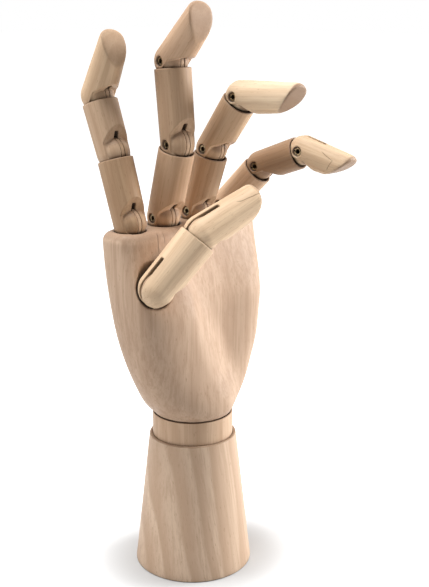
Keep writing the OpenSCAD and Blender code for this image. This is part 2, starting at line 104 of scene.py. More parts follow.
# the hand's joint frames, in millimetres, as the part has them
digits = {
    "index": {"root": (-35.0, 8.0, 192.3), "lean": -1.5, "turn": -2.0, "seat": 0.0,
              "lengths": (35.5, 29.0, 33.5), "bends": (-17.0, -3.0, 48.0), "ball": 8.5, "pinSide": 1},
    "middle": {"root": (-35.0 / 3, 8.0, 192.3), "lean": 0.5, "turn": -4.0, "seat": 0.0,
               "lengths": (39.5, 40.0, 34.0), "bends": (16.0, -22.0, 50.0), "ball": 8.8, "pinSide": -1},
    "ring": {"root": (35.0 / 3, 8.0, 192.3), "lean": 3.0, "turn": 0.0, "seat": 0.0,
             "lengths": (34.5, 33.0, 37.5), "bends": (17.0, 18.0, 52.0), "ball": 8.4, "pinSide": -1},
    "little": {"root": (35.0, 8.0, 192.3), "lean": 3.5, "turn": 7.0, "seat": 0.0,
               "lengths": (31.0, 27.5, 29.0), "bends": (44.0, 25.0, 35.0), "ball": 8.0, "pinSide": -1},
    "thumb": {"root": (-38.0, -14.0, 163.5), "lean": -12.0, "turn": 75.0, "seat": -15.0,
              "lengths": (34.5, 34.5), "bends": (55.0, 22.0), "ball": 9.6, "pinSide": 1},
}
segmentNames = {3: ("proximal", "middle", "distal"), 2: ("metacarpal", "distal")}


def turned(axis, degrees):
    return Matrix.Rotation(math.radians(degrees), 4, axis)


def shifted(x, y, z):
    return Matrix.Translation(Vector((x, y, z)) * mm)


def rootFrame(digit):
    facing = turned("Z", digit["turn"]) @ turned("Y", digit["lean"])
    return shifted(*digit["root"]) @ facing @ turned("X", digit["seat"])


def segmentFrame(digit, n):
    place = rootFrame(digit)
    for i in range(n + 1):
        place = place @ turned("X", digit["bends"][i])
        if i < n:
            place = place @ shifted(0, 0, digit["lengths"][i])
    return place


def cupFrame(digit, n):
    if n == 0:
        return rootFrame(digit)
    return segmentFrame(digit, n - 1) @ shifted(0, 0, digit["lengths"][n - 1])


def nodeIn(tree, kind, **settings):
    node = tree.nodes.new(kind)
    for key, value in settings.items():
        setattr(node, key, value)
    return node


def feed(tree, socket, value):
    if isinstance(value, bpy.types.NodeSocket):
        tree.links.new(value, socket)
    else:
        socket.default_value = (*value, 1.0) if isinstance(value, tuple) else value


def mathNode(tree, operation, first, second=None):
    node = nodeIn(tree, "ShaderNodeMath", operation=operation)
    feed(tree, node.inputs[0], first)
    if second is not None:
        feed(tree, node.inputs[1], second)
    return node.outputs[0]


def vectorNode(tree, operation, vector, other=None):
    node = nodeIn(tree, "ShaderNodeVectorMath", operation=operation)
    tree.links.new(vector, node.inputs[0])
    if other is not None:
        node.inputs[1].default_value = other
    return node


def dotWith(tree, vector, direction):
    return vectorNode(tree, "DOT_PRODUCT", vector, direction).outputs["Value"]


def lengthOf(tree, vector):
    return vectorNode(tree, "LENGTH", vector).outputs["Value"]


def stretched(tree, vector, scale):
    return vectorNode(tree, "MULTIPLY", vector, scale).outputs[0]


def offsetFrom(tree, vector, place):
    return vectorNode(tree, "SUBTRACT", vector, place).outputs[0]


def mixColour(tree, amount, first, second, blend="MIX"):
    node = nodeIn(tree, "ShaderNodeMix", data_type="RGBA", blend_type=blend)
    for index, value in ((0, amount), (6, first), (7, second)):  # factor and the two colours
        feed(tree, node.inputs[index], value)
    return node.outputs[2]


def remap(tree, value, low, high, to=(0.0, 1.0)):
    node = nodeIn(tree, "ShaderNodeMapRange", interpolation_type="SMOOTHSTEP")
    tree.links.new(value, node.inputs[0])
    for socket, number in zip(node.inputs[1:5], (low, high, *to)):
        socket.default_value = number
    return node.outputs[0]


def noise(tree, vector, scale, detail, rough):
    node = nodeIn(tree, "ShaderNodeTexNoise", normalize=True)
    tree.links.new(vector, node.inputs["Vector"])
    node.inputs["Scale"].default_value = scale
    node.inputs["Detail"].default_value = detail
    node.inputs["Roughness"].default_value = rough
    return node.outputs[0]


def grainNoise(tree, grain, along, pattern):
    return noise(tree, stretched(tree, grain, (1.0, 1.0, along)), *pattern)


def addBump(tree, shader, height, strength, distance):
    bump = nodeIn(tree, "ShaderNodeBump")
    bump.inputs["Strength"].default_value = strength
    bump.inputs["Distance"].default_value = distance
    tree.links.new(height, bump.inputs["Height"])
    tree.links.new(bump.outputs[0], shader.inputs["Normal"])


# beech as the grain runs: growth bands, fine fibres, short ray flecks and slow blotches;
# a noise lists its squeeze along the grain, then scale, detail and roughness, and an edge where it starts and ends
beech = {
    "pale": (0.68, 0.505, 0.36),
    "deep": (0.51, 0.345, 0.23),
    "fibre": (0.46, 0.30, 0.195),
    "fleck": (0.36, 0.22, 0.13),
    "end": (0.32, 0.205, 0.135),
    "bandWidth": 7.0,
    "bandAmount": 0.6,
    "waver": 3.2,
    "streakAmount": 0.5,
    "fibreAmount": 0.5,
    "fleckAmount": 0.5,
    "blotchAmount": 0.3,
    "endGrain": 0.55,
    # painted shade in recesses: how dark it gets and how far it reaches
    "recess": 0.78,
    "recessReach": 0.0062,
    "pith": (26.0, 9.0),
    "tint": (1.0, 1.0, 1.0),
    "waverNoise": (0.22, (0.045, 2.0, 0.45)),
    "bandRise": (0.0, 0.78),
    "bandFall": (0.8, 1.0),
    "blotchNoise": (0.35, (0.05, 3.0, 0.5)),
    "blotchEdge": (0.3, 0.7),
    "streakNoise": (0.012, (0.5, 3.0, 0.6)),
    "streakEdge": (0.44, 0.62),
    "fibreNoise": (0.03, (1.5, 4.0, 0.62)),
    "fibreEdge": (0.48, 0.72),
    "fleckNoise": (0.16, (1.9, 1.0, 0.4)),
    "fleckEdge": (0.69, 0.76),
    "endEdge": (0.2, 0.55),
    "recessEdge": (0.12, 0.7),
    "roughness": (0.46, 0.62),
    "roughEdge": (0.3, 0.75),
    "specular": 0.22,
    "bump": (0.22, 0.00012),
    "fleckDepth": 0.6,
    "checks": (),
    "mouth": None,
}


# coordinates in millimetres, with the third axis along the grain
def grainCoords(tree, coords, place):
    mapping = nodeIn(tree, "ShaderNodeMapping", vector_type="POINT")
    back = place.to_3x3().transposed()
    seat = -(back @ place.translation) * toMm
    mapping.inputs["Scale"].default_value = (toMm, toMm, toMm)
    mapping.inputs["Rotation"].default_value = back.to_euler("XYZ")
    mapping.inputs["Location"].default_value = (seat.x, seat.y, seat.z)
    tree.links.new(coords.outputs["Object"], mapping.inputs["Vector"])
    return mapping.outputs[0]


def woodFinish(name, place, **changes):
    look = {**beech, **changes}
    material = bpy.data.materials.new(name)
    material.use_nodes = True
    tree = material.node_tree
    shader = tree.nodes["Principled BSDF"]
    coords = nodeIn(tree, "ShaderNodeTexCoord")
    grain = grainCoords(tree, coords, place)

    # growth bands: distance from a pith line beside the piece, wavering along the grain
    waver = grainNoise(tree, grain, *look["waverNoise"])
    off = offsetFrom(tree, stretched(tree, grain, (1.0, 1.0, 0.0)), (*look["pith"], 0.0))
    rings = mathNode(tree, "DIVIDE", lengthOf(tree, off), look["bandWidth"])
    rings = mathNode(tree, "ADD", rings, mathNode(tree, "MULTIPLY", waver, look["waver"]))
    saw = mathNode(tree, "FRACT", rings)
    rise = remap(tree, saw, *look["bandRise"])
    fall = remap(tree, saw, *look["bandFall"], (1.0, 0.0))
    band = mathNode(tree, "MULTIPLY", rise, fall)
    band = mathNode(tree, "MULTIPLY", band, look["bandAmount"])
    blotch = grainNoise(tree, grain, *look["blotchNoise"])
    blotch = remap(tree, blotch, *look["blotchEdge"], (0.0, look["blotchAmount"]))
    colour = mixColour(tree, band, look["pale"], look["deep"])
    colour = mixColour(tree, blotch, colour, look["deep"])

    # streaks and fibres along the grain, and the short flecks of the rays
    streak = grainNoise(tree, grain, *look["streakNoise"])
    streak = remap(tree, streak, *look["streakEdge"], (0.0, look["streakAmount"]))
    colour = mixColour(tree, streak, colour, look["deep"])
    fine = grainNoise(tree, grain, *look["fibreNoise"])
    lines = remap(tree, fine, *look["fibreEdge"], (0.0, look["fibreAmount"]))
    colour = mixColour(tree, lines, colour, look["fibre"])
    spots = grainNoise(tree, grain, *look["fleckNoise"])
    flecks = remap(tree, spots, *look["fleckEdge"], (0.0, look["fleckAmount"]))
    colour = mixColour(tree, flecks, colour, look["fleck"])
    colour = mixColour(tree, 1.0, colour, look["tint"], "MULTIPLY")

    # end grain, painted shade in the drilled mouths, and drying checks
    axis = dotWith(tree, coords.outputs["Normal"], place.to_3x3() @ Vector((0, 0, 1)))
    endGrain = remap(tree, axis, *look["endEdge"], (0.0, look["endGrain"]))
    colour = mixColour(tree, endGrain, colour, look["end"])
    if look["mouth"]:
        colour = addMouthShade(tree, grain, colour, look["mouth"])
    for check in look["checks"]:
        colour = addCheck(tree, coords.outputs["Object"], colour, check)

    # painted shade: recesses, slots and the gaps between parts are darkened where nearby surfaces close round them
    hidden = nodeIn(tree, "ShaderNodeAmbientOcclusion", samples=6)
    hidden.inputs["Distance"].default_value = look["recessReach"]
    recessShade = remap(tree, hidden.outputs["AO"], *look["recessEdge"], (1.0 - look["recess"], 1.0))
    shade = vectorNode(tree, "SCALE", colour)
    tree.links.new(recessShade, shade.inputs["Scale"])
    tree.links.new(shade.outputs[0], shader.inputs["Base Color"])

    # sanded surface: a little sheen along the fibres
    rough = remap(tree, fine, *look["roughEdge"], look["roughness"])
    tree.links.new(rough, shader.inputs["Roughness"])
    shader.inputs["Specular IOR Level"].default_value = look["specular"]
    dents = mathNode(tree, "MULTIPLY", flecks, look["fleckDepth"])
    addBump(tree, shader, mathNode(tree, "SUBTRACT", fine, dents), *look["bump"])
    return material


# painted shade in the drilled mouth around a pin's end: the wood there is painted near black
mouthShade = {"colour": (0.05, 0.03, 0.018), "strength": 0.88, "rim": (2.3, 2.7), "from": (3.0, 5.0)}


def addMouthShade(tree, grain, colour, mouth):
    offset = offsetFrom(tree, grain, (0.0, 0.0, mouth["height"]))
    across = lengthOf(tree, stretched(tree, offset, (0.0, 1.0, 1.0)))
    inside = remap(tree, across, *mouthShade["rim"], (mouthShade["strength"], 0.0))
    outer = remap(tree, dotWith(tree, offset, (mouth["side"], 0.0, 0.0)), *mouthShade["from"])
    return mixColour(tree, mathNode(tree, "MULTIPLY", inside, outer), colour, mouthShade["colour"])


# a drying check: a thin dark line between two points, in millimetres, on the side that faces a direction
dryingCheck = {"wander": 0.0007, "wobble": (260.0, 2.0, 0.6), "strength": 0.62, "colour": (0.13, 0.07, 0.04),
               "core": 0.4, "depth": (0.003, 0.005), "fade": 0.002}


def addCheck(tree, where, colour, check):
    start, end = Vector(check["start"]) * mm, Vector(check["end"]) * mm
    along = (end - start).normalized()
    across = along.cross(Vector(check["facing"])).normalized()
    width = check["width"] * mm
    span, half = (end - start).length, dryingCheck["fade"] / 2
    offset = offsetFrom(tree, where, start)
    wobble = mathNode(tree, "SUBTRACT", noise(tree, where, *dryingCheck["wobble"]), 0.5)
    wobble = mathNode(tree, "MULTIPLY", wobble, dryingCheck["wander"])
    sideways = mathNode(tree, "ADD", dotWith(tree, offset, across), wobble)
    reach = dotWith(tree, offset, along)
    depth = mathNode(tree, "ABSOLUTE", dotWith(tree, offset, across.cross(along)))
    mask = remap(tree, mathNode(tree, "ABSOLUTE", sideways), width * dryingCheck["core"], width, (1.0, 0.0))
    for part in (remap(tree, reach, -half, half), remap(tree, reach, span - half, span + half, (1.0, 0.0)),
                 remap(tree, depth, *dryingCheck["depth"], (1.0, 0.0)), dryingCheck["strength"]):
        mask = mathNode(tree, "MULTIPLY", mask, part)
    return mixColour(tree, mask, colour, dryingCheck["colour"])


# dark oiled spring steel
steel = {"bright": (0.38, 0.285, 0.165), "dull": (0.055, 0.038, 0.025), "patchDetail": (4.0, 0.6),
         "patchEdge": (0.35, 0.68), "roughEdge": (0.3, 0.7), "roughness": (0.28, 0.5), "bump": (0.12, 0.00005),
         "pinPatches": 900.0, "boltPatches": 420.0}


def steelFinish(name, patches):
    material = bpy.data.materials.new(name)
    material.use_nodes = True
    tree = material.node_tree
    shader = tree.nodes["Principled BSDF"]
    coords = nodeIn(tree, "ShaderNodeTexCoord")
    patch = noise(tree, coords.outputs["Object"], patches, *steel["patchDetail"])
    colour = mixColour(tree, remap(tree, patch, *steel["patchEdge"]), steel["bright"], steel["dull"])
    tree.links.new(colour, shader.inputs["Base Color"])
    tree.links.new(remap(tree, patch, *steel["roughEdge"], steel["roughness"]), shader.inputs["Roughness"])
    shader.inputs["Metallic"].default_value = 1.0
    addBump(tree, shader, patch, *steel["bump"])
    return material


pinSteel = steelFinish("oiledPinSteel", steel["pinPatches"])
boltSteel = steelFinish("oiledBoltSteel", steel["boltPatches"])


def geometryTree(name, inputs):
    tree = bpy.data.node_groups.new(name, "GeometryNodeTree")
    tree.is_modifier = True
    for label, kind in inputs:
        tree.interface.new_socket(label, in_out="INPUT", socket_type=kind)
    tree.interface.new_socket("Geometry", in_out="OUTPUT", socket_type="NodeSocketGeometry")
    return tree, tree.nodes.new("NodeGroupInput"), tree.nodes.new("NodeGroupOutput")


def closeTree(tree, geometry, outNode, inNode):
    smooth = tree.nodes.new("GeometryNodeSetShadeSmooth")
    realize = tree.nodes.new("GeometryNodeRealizeInstances")
    finish = tree.nodes.new("GeometryNodeSetMaterial")
    tree.links.new(geometry, smooth.inputs["Geometry"])
    tree.links.new(smooth.outputs[0], realize.inputs[0])
    tree.links.new(realize.outputs[0], finish.inputs["Geometry"])
    tree.links.new(inNode.outputs["Finish"], finish.inputs["Material"])
    tree.links.new(finish.outputs[0], outNode.inputs[0])


def grown(name, tree, values, startData=None):
    obj = linked(name, startData or bpy.data.meshes.new(name))
    mod = obj.modifiers.new("shape", "NODES")
    mod.node_group = tree
    for item in tree.interface.items_tree:
        if item.in_out == "INPUT" and item.name in values:
            mod[item.identifier] = values[item.name]
    mesh = evaluatedMesh(obj, name)
    obj.modifiers.remove(mod)
    dropObject(obj)
    return mesh


# a profile curve, radius across and height up, turned about the upright axis
def latheTree():
    tree, inNode, outNode = geometryTree("turnedOnLathe", (
        ("Profile", "NodeSocketGeometry"), ("Sides", "NodeSocketInt"), ("Core", "NodeSocketFloat"),
        ("Finish", "NodeSocketMaterial")))
    circle = tree.nodes.new("GeometryNodeCurvePrimitiveCircle")
    tree.links.new(inNode.outputs["Sides"], circle.inputs["Resolution"])
    tree.links.new(inNode.outputs["Core"], circle.inputs["Radius"])
    sweep = tree.nodes.new("GeometryNodeCurveToMesh")
    tree.links.new(circle.outputs[0], sweep.inputs["Curve"])
    tree.links.new(inNode.outputs["Profile"], sweep.inputs["Profile Curve"])
    closeTree(tree, sweep.outputs[0], outNode, inNode)
    return tree


# a strip rolled into a tube with an open slit along it
def rollPinTree():
    tree, inNode, outNode = geometryTree("rolledPin", (
        ("Middle Radius", "NodeSocketFloat"), ("Wall", "NodeSocketFloat"), ("Length", "NodeSocketFloat"),
        ("Slit Angle", "NodeSocketFloat"), ("Edge", "NodeSocketFloat"), ("Finish", "NodeSocketMaterial")))
    arc = tree.nodes.new("GeometryNodeCurveArc")
    arc.inputs["Resolution"].default_value = rollPin["arcSteps"]
    tree.links.new(inNode.outputs["Middle Radius"], arc.inputs["Radius"])
    slit = inNode.outputs["Slit Angle"]
    tree.links.new(mathNode(tree, "DIVIDE", slit, 2.0), arc.inputs["Start Angle"])
    tree.links.new(mathNode(tree, "SUBTRACT", 2 * math.pi, slit), arc.inputs["Sweep Angle"])
    strip = tree.nodes.new("GeometryNodeCurvePrimitiveQuadrilateral")
    tree.links.new(inNode.outputs["Wall"], strip.inputs["Width"])
    tree.links.new(inNode.outputs["Length"], strip.inputs["Height"])
    fillet = tree.nodes.new("GeometryNodeFilletCurve")
    fillet.mode = "POLY"
    fillet.inputs["Count"].default_value = rollPin["edgeSteps"]
    tree.links.new(strip.outputs[0], fillet.inputs["Curve"])
    tree.links.new(inNode.outputs["Edge"], fillet.inputs["Radius"])
    sweep = tree.nodes.new("GeometryNodeCurveToMesh")
    sweep.inputs["Fill Caps"].default_value = True
    tree.links.new(arc.outputs[0], sweep.inputs["Curve"])
    tree.links.new(fillet.outputs[0], sweep.inputs["Profile Curve"])
    closeTree(tree, sweep.outputs[0], outNode, inNode)
    return tree


# wire wound into a coil with a straight leg at each end
def coilTree():
    tree, inNode, outNode = geometryTree("woundSpring", (
        ("Turns", "NodeSocketFloat"), ("Coil Radius", "NodeSocketFloat"), ("Wire Radius", "NodeSocketFloat"),
        ("Low", "NodeSocketFloat"), ("Leg", "NodeSocketFloat"), ("Rise", "NodeSocketFloat"),
        ("Finish", "NodeSocketMaterial")))

    def spot(x, z):
        node = tree.nodes.new("ShaderNodeCombineXYZ")
        tree.links.new(x, node.inputs[0])
        tree.links.new(z, node.inputs[2])
        return node.outputs[0]

    radius, low, leg, rise = (inNode.outputs[k] for k in ("Coil Radius", "Low", "Leg", "Rise"))
    coilLow = mathNode(tree, "ADD", low, leg)
    coilHigh = mathNode(tree, "ADD", coilLow, rise)
    spiral = tree.nodes.new("GeometryNodeCurveSpiral")
    spiral.inputs["Resolution"].default_value = wristSpring["turnSteps"]
    tree.links.new(inNode.outputs["Turns"], spiral.inputs["Rotations"])
    tree.links.new(radius, spiral.inputs["Start Radius"])
    tree.links.new(radius, spiral.inputs["End Radius"])
    tree.links.new(rise, spiral.inputs["Height"])
    lift = tree.nodes.new("GeometryNodeTransform")
    tree.links.new(spiral.outputs[0], lift.inputs["Geometry"])
    raiseBy = tree.nodes.new("ShaderNodeCombineXYZ")
    tree.links.new(coilLow, raiseBy.inputs[2])
    tree.links.new(raiseBy.outputs[0], lift.inputs["Translation"])
    join = tree.nodes.new("GeometryNodeJoinGeometry")
    tree.links.new(lift.outputs[0], join.inputs[0])
    for bottom, top in ((low, coilLow), (coilHigh, mathNode(tree, "ADD", coilHigh, leg))):
        line = tree.nodes.new("GeometryNodeCurvePrimitiveLine")
        tree.links.new(spot(radius, bottom), line.inputs["Start"])
        tree.links.new(spot(radius, top), line.inputs["End"])
        tree.links.new(line.outputs[0], join.inputs[0])
    wire = tree.nodes.new("GeometryNodeCurvePrimitiveCircle")
    wire.inputs["Resolution"].default_value = wristSpring["wireSides"]
    tree.links.new(inNode.outputs["Wire Radius"], wire.inputs["Radius"])
    sweep = tree.nodes.new("GeometryNodeCurveToMesh")
    sweep.inputs["Fill Caps"].default_value = True
    tree.links.new(join.outputs[0], sweep.inputs["Curve"])
    tree.links.new(wire.outputs[0], sweep.inputs["Profile Curve"])
    closeTree(tree, sweep.outputs[0], outNode, inNode)
    return tree


def profileCurve(name, outline):
    curve = bpy.data.curves.new(name, "CURVE")
    curve.dimensions = "3D"
    spline = curve.splines.new("POLY")
    spline.points.add(len(outline) - 1)
    for point, (radius, height) in zip(spline.points, outline):
        point.co = (radius * mm, -height * mm, 0.0, 1.0)  # the sweep turns -Y up
    spline.use_cyclic_u = True
    return curve


# points round a corner, from one angle to another
def cornerArc(cx, cy, radius, start, end, steps):
    angles = [math.radians(start + (end - start) * i / steps) for i in range(steps + 1)]
    return [(cx + radius * math.cos(a), cy + radius * math.sin(a)) for a in angles]


def finishPiece(name, mesh, body, nodes, material, sharp=None):
    mesh.materials.clear()
    mesh.materials.append(material)
    if sharp is not None:
        mesh.shade_smooth()
        mesh.set_sharp_from_angle(angle=math.radians(sharp))
    piece = linked(name, mesh)
    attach(piece, body)
    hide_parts(*nodes)
    return piece


upright = Matrix.Identity(4)
lathe = latheTree()


def turnedPiece(name, outline, sides, wood):
    profile = profileCurve(name + "Profile", outline)
    mesh = grown(name, lathe, {"Sides": sides, "Core": tiny, "Finish": wood}, profile)
    outward(mesh)
    return mesh



# the turned base
turnedBase = {"height": 74.0, "foot": 31.5, "top": 23.2, "rim": 0.7, "socket": 21.45, "socketFloor": 69.0,
              "socketBreak": 0.3, "hole": 3.3, "hollow": 14.0, "hollowTop": 40.0, "rimSteps": 6, "sides": 160,
              "sharp": 35, "shares": (0.15, 0.3, 0.45, 0.6, 0.75, 0.9)}


def baseOutline(b):
    slope = math.degrees(math.atan2(b["foot"] - b["top"], b["height"]))
    r, steps = b["rim"], b["rimSteps"]
    socket, lip, high, floor = b["socket"], b["socketBreak"], b["height"], b["socketFloor"]
    outline = [(b["hollow"], 0.0)]
    outline += cornerArc(b["foot"] - r, r, r, -90, slope, steps)
    outline += [(b["foot"] + (b["top"] - b["foot"]) * t, high * t) for t in b["shares"]]
    outline += cornerArc(b["top"] - r, high - r, r, slope, 90, steps)
    outline += [(socket + lip, high), (socket, high - lip), (socket, floor), (b["hole"], floor),
                (b["hole"], b["hollowTop"]), (b["hollow"], b["hollowTop"])]
    return outline


# the blank was sawn a little off the grain
baseGrain = Matrix.Rotation(math.radians(-7.0), 4, Vector((0.728, 0.685, 0.0)))
baseWood = woodFinish("baseBeech", baseGrain, pith=(51.0, -55.0), bandWidth=10.0, bandAmount=0.9, waver=1.6,
                      tint=(1.08, 1.09, 1.11))
mesh = turnedPiece("turnedBase", baseOutline(turnedBase), turnedBase["sides"], baseWood)
finishPiece("turnedBase", mesh, "base", ["base"], baseWood, turnedBase["sharp"])
print("base span", np.ptp(points(mesh), axis=0))

# the wrist collar with its dished top
wristCollar = {"radius": 21.4, "low": 69.05, "high": 86.5, "edge": 0.35, "dish": 30.3, "dishCentre": 108.72,
               "dishRim": 20.6, "dishSteps": 14, "edgeSteps": 4, "hole": 3.05, "sides": 144, "sharp": 35}


def collarOutline(c):
    e, steps = c["edge"], c["edgeSteps"]
    outline = [(c["hole"], c["low"])]
    outline += cornerArc(c["radius"] - e, c["low"] + e, e, -90, 0, steps)
    outline += cornerArc(c["radius"] - e, c["high"] - e, e, 0, 90, steps)
    for i in range(c["dishSteps"] + 1):
        radius = c["dishRim"] + (c["hole"] - c["dishRim"]) * i / c["dishSteps"]
        outline.append((radius, c["dishCentre"] - math.sqrt(c["dish"] ** 2 - radius ** 2)))
    return outline


collarWood = woodFinish("collarBeech", upright, pith=(-18.0, 30.0), tint=(1.02, 0.98, 0.94), bandWidth=9.0)
mesh = turnedPiece("wristCollar", collarOutline(wristCollar), wristCollar["sides"], collarWood)
finishPiece("wristCollar", mesh, "wrist", ["wrist_collar"], collarWood, wristCollar["sharp"])
print("turned base and collar done")

# the palm block, rounded sections from the heel to the knuckles
palmBlock = {
    "low": 87.0, "top": 188.5, "footRadius": 20.4, "halfWidth": 46.0, "lean": 1.5,
    "flareThumb": 0.86, "flareLittle": 0.5, "flareFrom": 0.02, "flarePower": 2.7,
    "bowl": 4.2, "waist": 2.0, "spread": 7.0, "spreadFrom": 0.5,
    "back": 22.5, "front": 20.0, "deepFrom": 0.27, "thinning": 15.0, "thinFrom": 0.54,
    "square": 3.8, "squareFrom": 0.9, "edge": 5.0, "edgeIn": 0.8,
    "sides": 224, "rings": 240, "edgeRings": 12, "voxel": 0.62, "sanding": 3,
    "cupGap": 0.3, "thumbCup": 10.55, "groove": 10.25, "grooveFrom": 1.0, "floor": 10.4, "reach": 17.0,
    "swing": (10.0, 68.0), "swingSteps": 26,
    "heel": 108.72, "heelRadius": 30.0, "heelInset": 0.5, "heelSpan": (71.5, 104.0),
    "slotHalf": 3.3, "slotDepth": 10.24, "slotLow": 50.0, "slotTop": 116.22,
    "hollow": 7.0, "hollowAt": (-18.0, 43.0), "hollowTurn": 28.0, "hollowRamp": 26.0,
    "hollowLeft": (-24.0, -8.0), "hollowBank": (8.0, 42.0), "hollowFade": (0.5, 0.95)}


def eased(t):
    t = np.clip(t, 0.0, 1.0)
    return t * t * (3 - 2 * t)


# the scooped middle of the palm, bounded by the mound under the thumb
def palmHollow(p, x, z):
    turn = math.radians(p["hollowTurn"])
    across = (x - p["hollowAt"][0]) * math.cos(turn) + (z - p["low"] - p["hollowAt"][1]) * math.sin(turn)
    share = (z - p["low"]) / (p["top"] - p["low"])

    def between(v, pair):
        return eased((v - pair[0]) / (pair[1] - pair[0]))

    depth = p["hollow"] * eased(across / p["hollowRamp"]) * between(x, p["hollowLeft"])
    return depth * (1 - between(x, p["hollowBank"])) * (1 - between(share, p["hollowFade"]))


def palmRing(p, z, inset):
    share = (z - p["low"]) / (p["top"] - p["low"])
    ball = math.sqrt(p["heelRadius"] ** 2 - min(0.0, z - p["heel"]) ** 2) - p["footRadius"]
    bowl = p["bowl"] * (1 - (1 - min(1.0, ball / (2 * p["bowl"]))) ** 2)

    def grow(full, part):
        return p["footRadius"] + bowl + (full - p["footRadius"] - p["bowl"]) * part

    def half(full, flare):
        t = np.clip((share - p["flareFrom"]) / (flare - p["flareFrom"]), 0.0, 1.0)
        return grow(full, 1 - (1 - t) ** p["flarePower"])

    spread = p["spread"] * eased((share - p["spreadFrom"]) / (1 - p["spreadFrom"]))
    thin = p["thinning"] * eased((share - p["thinFrom"]) / (1 - p["thinFrom"]))
    deep = eased(share / p["deepFrom"])
    left = -half(p["halfWidth"], p["flareThumb"]) - p["lean"] * share + inset
    right = half(p["halfWidth"] - p["waist"], p["flareLittle"]) - p["lean"] * share + spread - inset
    back = grow(p["back"], deep) - inset
    front = -grow(p["front"], deep) + thin + inset
    power = 2 / (2 + (p["square"] - 2) * eased(share / p["squareFrom"]))
    angle = 2 * np.pi * (np.arange(p["sides"]) + 0.5) / p["sides"]

    def bulge(v):
        return np.sign(v) * np.abs(v) ** power

    x = (right + left) / 2 + (right - left) / 2 * bulge(np.cos(angle))
    y = (back + front) / 2 + (back - front) / 2 * bulge(np.sin(angle))
    y += palmHollow(p, x, z) * np.maximum(0.0, -bulge(np.sin(angle))) ** 2
    return np.stack([x, y, np.full(len(angle), z)], axis=1)


def palmBody(p):
    straight = p["top"] - p["edge"] - p["low"]
    levels = [(p["low"] + straight * i / p["rings"], 0.0) for i in range(p["rings"] + 1)]
    for i in range(1, p["edgeRings"] + 1):
        u = math.radians(90 * i / p["edgeRings"])
        levels.append((p["top"] - p["edge"] * (1 - math.sin(u)), p["edgeIn"] * p["edge"] * (1 - math.cos(u))))
    bm = bmesh.new()
    loops = [[bm.verts.new(Vector(v) * mm) for v in palmRing(p, z, inset)] for z, inset in levels]
    for low, high in zip(loops, loops[1:]):
        for k in range(p["sides"]):
            j = (k + 1) % p["sides"]
            bm.faces.new((low[k], low[j], high[j], high[k]))
    bm.faces.new(loops[0][::-1])
    bm.faces.new(loops[-1])
    bmesh.ops.recalc_face_normals(bm, faces=bm.faces)
    return fromBmesh("palmBody", bm)


# balls, rods, boxes and fans that cut the palm
toolSides = 96


def ballTool(name, place, radius):
    bm = bmesh.new()
    bmesh.ops.create_uvsphere(bm, u_segments=toolSides, v_segments=toolSides // 2, radius=radius * mm)
    bm.transform(place)
    return fromBmesh(name, bm)


def rodTool(name, place, radius, low, high):
    bm = bmesh.new()
    bmesh.ops.create_cone(bm, cap_ends=True, segments=toolSides, radius1=radius * mm, radius2=radius * mm,
                          depth=(high - low) * mm)
    bm.transform(place @ shifted(0, 0, (low + high) / 2))
    return fromBmesh(name, bm)


def boxTool(name, place, low, high):
    bm = bmesh.new()
    bmesh.ops.create_cube(bm, size=1.0)
    size = [(h - l) * mm for l, h in zip(low, high)]
    mid = [(l + h) / 2 for l, h in zip(low, high)]
    bm.transform(place @ shifted(*mid) @ Matrix.Diagonal((*size, 1.0)))
    return fromBmesh(name, bm)


# a flat fan around the hinge, between the two ends of the thumb's swing
def fanTool(name, place, half, reach, swing, steps):
    bm = bmesh.new()
    sides = []
    for x in (-half, half):
        fan = [bm.verts.new((x * mm, 0, 0))]
        for i in range(steps + 1):
            a = math.radians(swing[0] + (swing[1] - swing[0]) * i / steps)
            fan.append(bm.verts.new((x * mm, -math.sin(a) * reach * mm, math.cos(a) * reach * mm)))
        sides.append(fan)
    bm.faces.new(sides[0])
    bm.faces.new(sides[1][::-1])
    for k in range(len(sides[0])):
        j = (k + 1) % len(sides[0])
        bm.faces.new((sides[0][k], sides[1][k], sides[1][j], sides[0][j]))
    bm.transform(place)
    bmesh.ops.recalc_face_normals(bm, faces=bm.faces)
    return fromBmesh(name, bm)


def carve(target, tools, operation="DIFFERENCE"):
    for tool in tools:
        cut = target.modifiers.new(tool.name, "BOOLEAN")
        cut.operation = operation
        cut.solver = "EXACT"
        cut.object = tool
    mesh = evaluatedMesh(target, target.name)
    name = target.name
    dropObject(target)
    for tool in tools:
        dropObject(tool)
    return linked(name, mesh)


# grinds a shape to even facets and sands its edges
def sanded(obj, voxel, rounds, name):
    grind = obj.modifiers.new("grind", "REMESH")
    grind.mode = "VOXEL"
    grind.voxel_size = voxel * mm
    grind.use_smooth_shade = True
    sand = obj.modifiers.new("sand", "SMOOTH")
    sand.iterations = rounds
    sand.factor = 0.5
    mesh = evaluatedMesh(obj, name)
    dropObject(obj)
    mesh.shade_smooth()
    return mesh


p = palmBlock
body = palmBody(p)
heel = ballTool("heelRound", shifted(0, 0, p["heel"]), p["heelRadius"])
trim = rodTool("heelTrim", upright, p["footRadius"] - p["heelInset"], *p["heelSpan"])
heel = carve(heel, [trim], "INTERSECT")
body = carve(body, [heel], "UNION")
tools = [ballTool("cup_" + name, rootFrame(digits[name]), digits[name]["ball"] + p["cupGap"])
         for name in ("index", "middle", "ring", "little")]
thumbSeat = rootFrame(digits["thumb"])
tools.append(ballTool("cup_thumb", thumbSeat, p["thumbCup"]))
for end in p["swing"]:
    tools.append(rodTool("groove", thumbSeat @ turned("X", end), p["groove"], p["grooveFrom"], p["reach"]))
tools.append(fanTool("swingFloor", thumbSeat, p["floor"], p["reach"], p["swing"], p["swingSteps"]))
tools.append(boxTool("boltSlot", upright, (-p["slotHalf"], -p["slotDepth"], p["slotLow"]),
                     (p["slotHalf"], p["slotDepth"], p["slotTop"])))
body = carve(body, tools)
mesh = sanded(body, p["voxel"], p["sanding"], "palmBlock")
